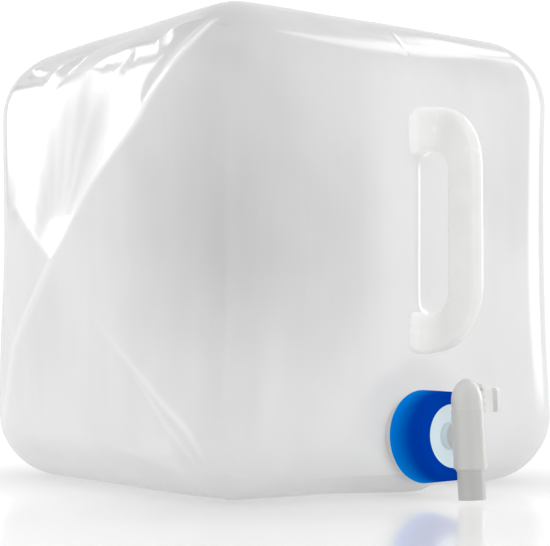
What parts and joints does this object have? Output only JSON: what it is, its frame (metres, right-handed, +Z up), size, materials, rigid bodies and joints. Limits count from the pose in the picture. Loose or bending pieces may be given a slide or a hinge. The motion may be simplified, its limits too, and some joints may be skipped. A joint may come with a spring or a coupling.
{
  "type": "collapsible water container",
  "caption": "Collapsible cube-shaped water container of translucent film with a moulded D handle, a screw collar and a quarter-turn tap at the foot of the front face.",
  "frame": {"origin": "centre of the base, on the surface it stands on", "axes": "+Z up; the face with the handle and the tap is towards -Y; +X to the right of that face seen from the front"},
  "size_m": [0.28, 0.3344, 0.28],
  "materials": {
    "film": "gloss",
    "handle": "satin",
    "collar": "gloss",
    "gasket": "matt",
    "tap": "satin"
  },
  "bodies": {
    "bladder": {"bladder_shell": "film", "bladder_neck": "film", "carry_handle": "handle"},
    "back": {"back_wall": "film"},
    "tap": {"tap_body": "tap", "tap_gasket": "gasket"},
    "collar": {"screw_collar": "collar"},
    "key": {"tap_key": "tap"}
  },
  "joints": [
    {"name": "back_fold", "type": "slide", "parent": "bladder", "child": "back", "axis": [0, -1, 0], "range_m": [0, 0.19], "deforming": ["bladder_shell"]},
    {"name": "tap_slide", "type": "slide", "parent": "bladder", "child": "tap", "axis": [0, -0.9978, 0.0663], "range_m": [0, 0.0079]},
    {"name": "collar_turn", "type": "hinge", "parent": "tap", "child": "collar", "pos_m": [0, -0.14, 0.0344], "axis": [0, -0.9978, 0.0663], "range_deg": [0, 560]},
    {"name": "key_turn", "type": "hinge", "parent": "tap", "child": "key", "pos_m": [0, -0.1839, 0.03732], "axis": [0, -0.0663, -0.9978], "range_deg": [0, 90]}
  ],
  "couplings": [
    {"joint": "tap_slide", "follows": "collar_turn", "m_per_rad": 0.00079577}
  ]
}
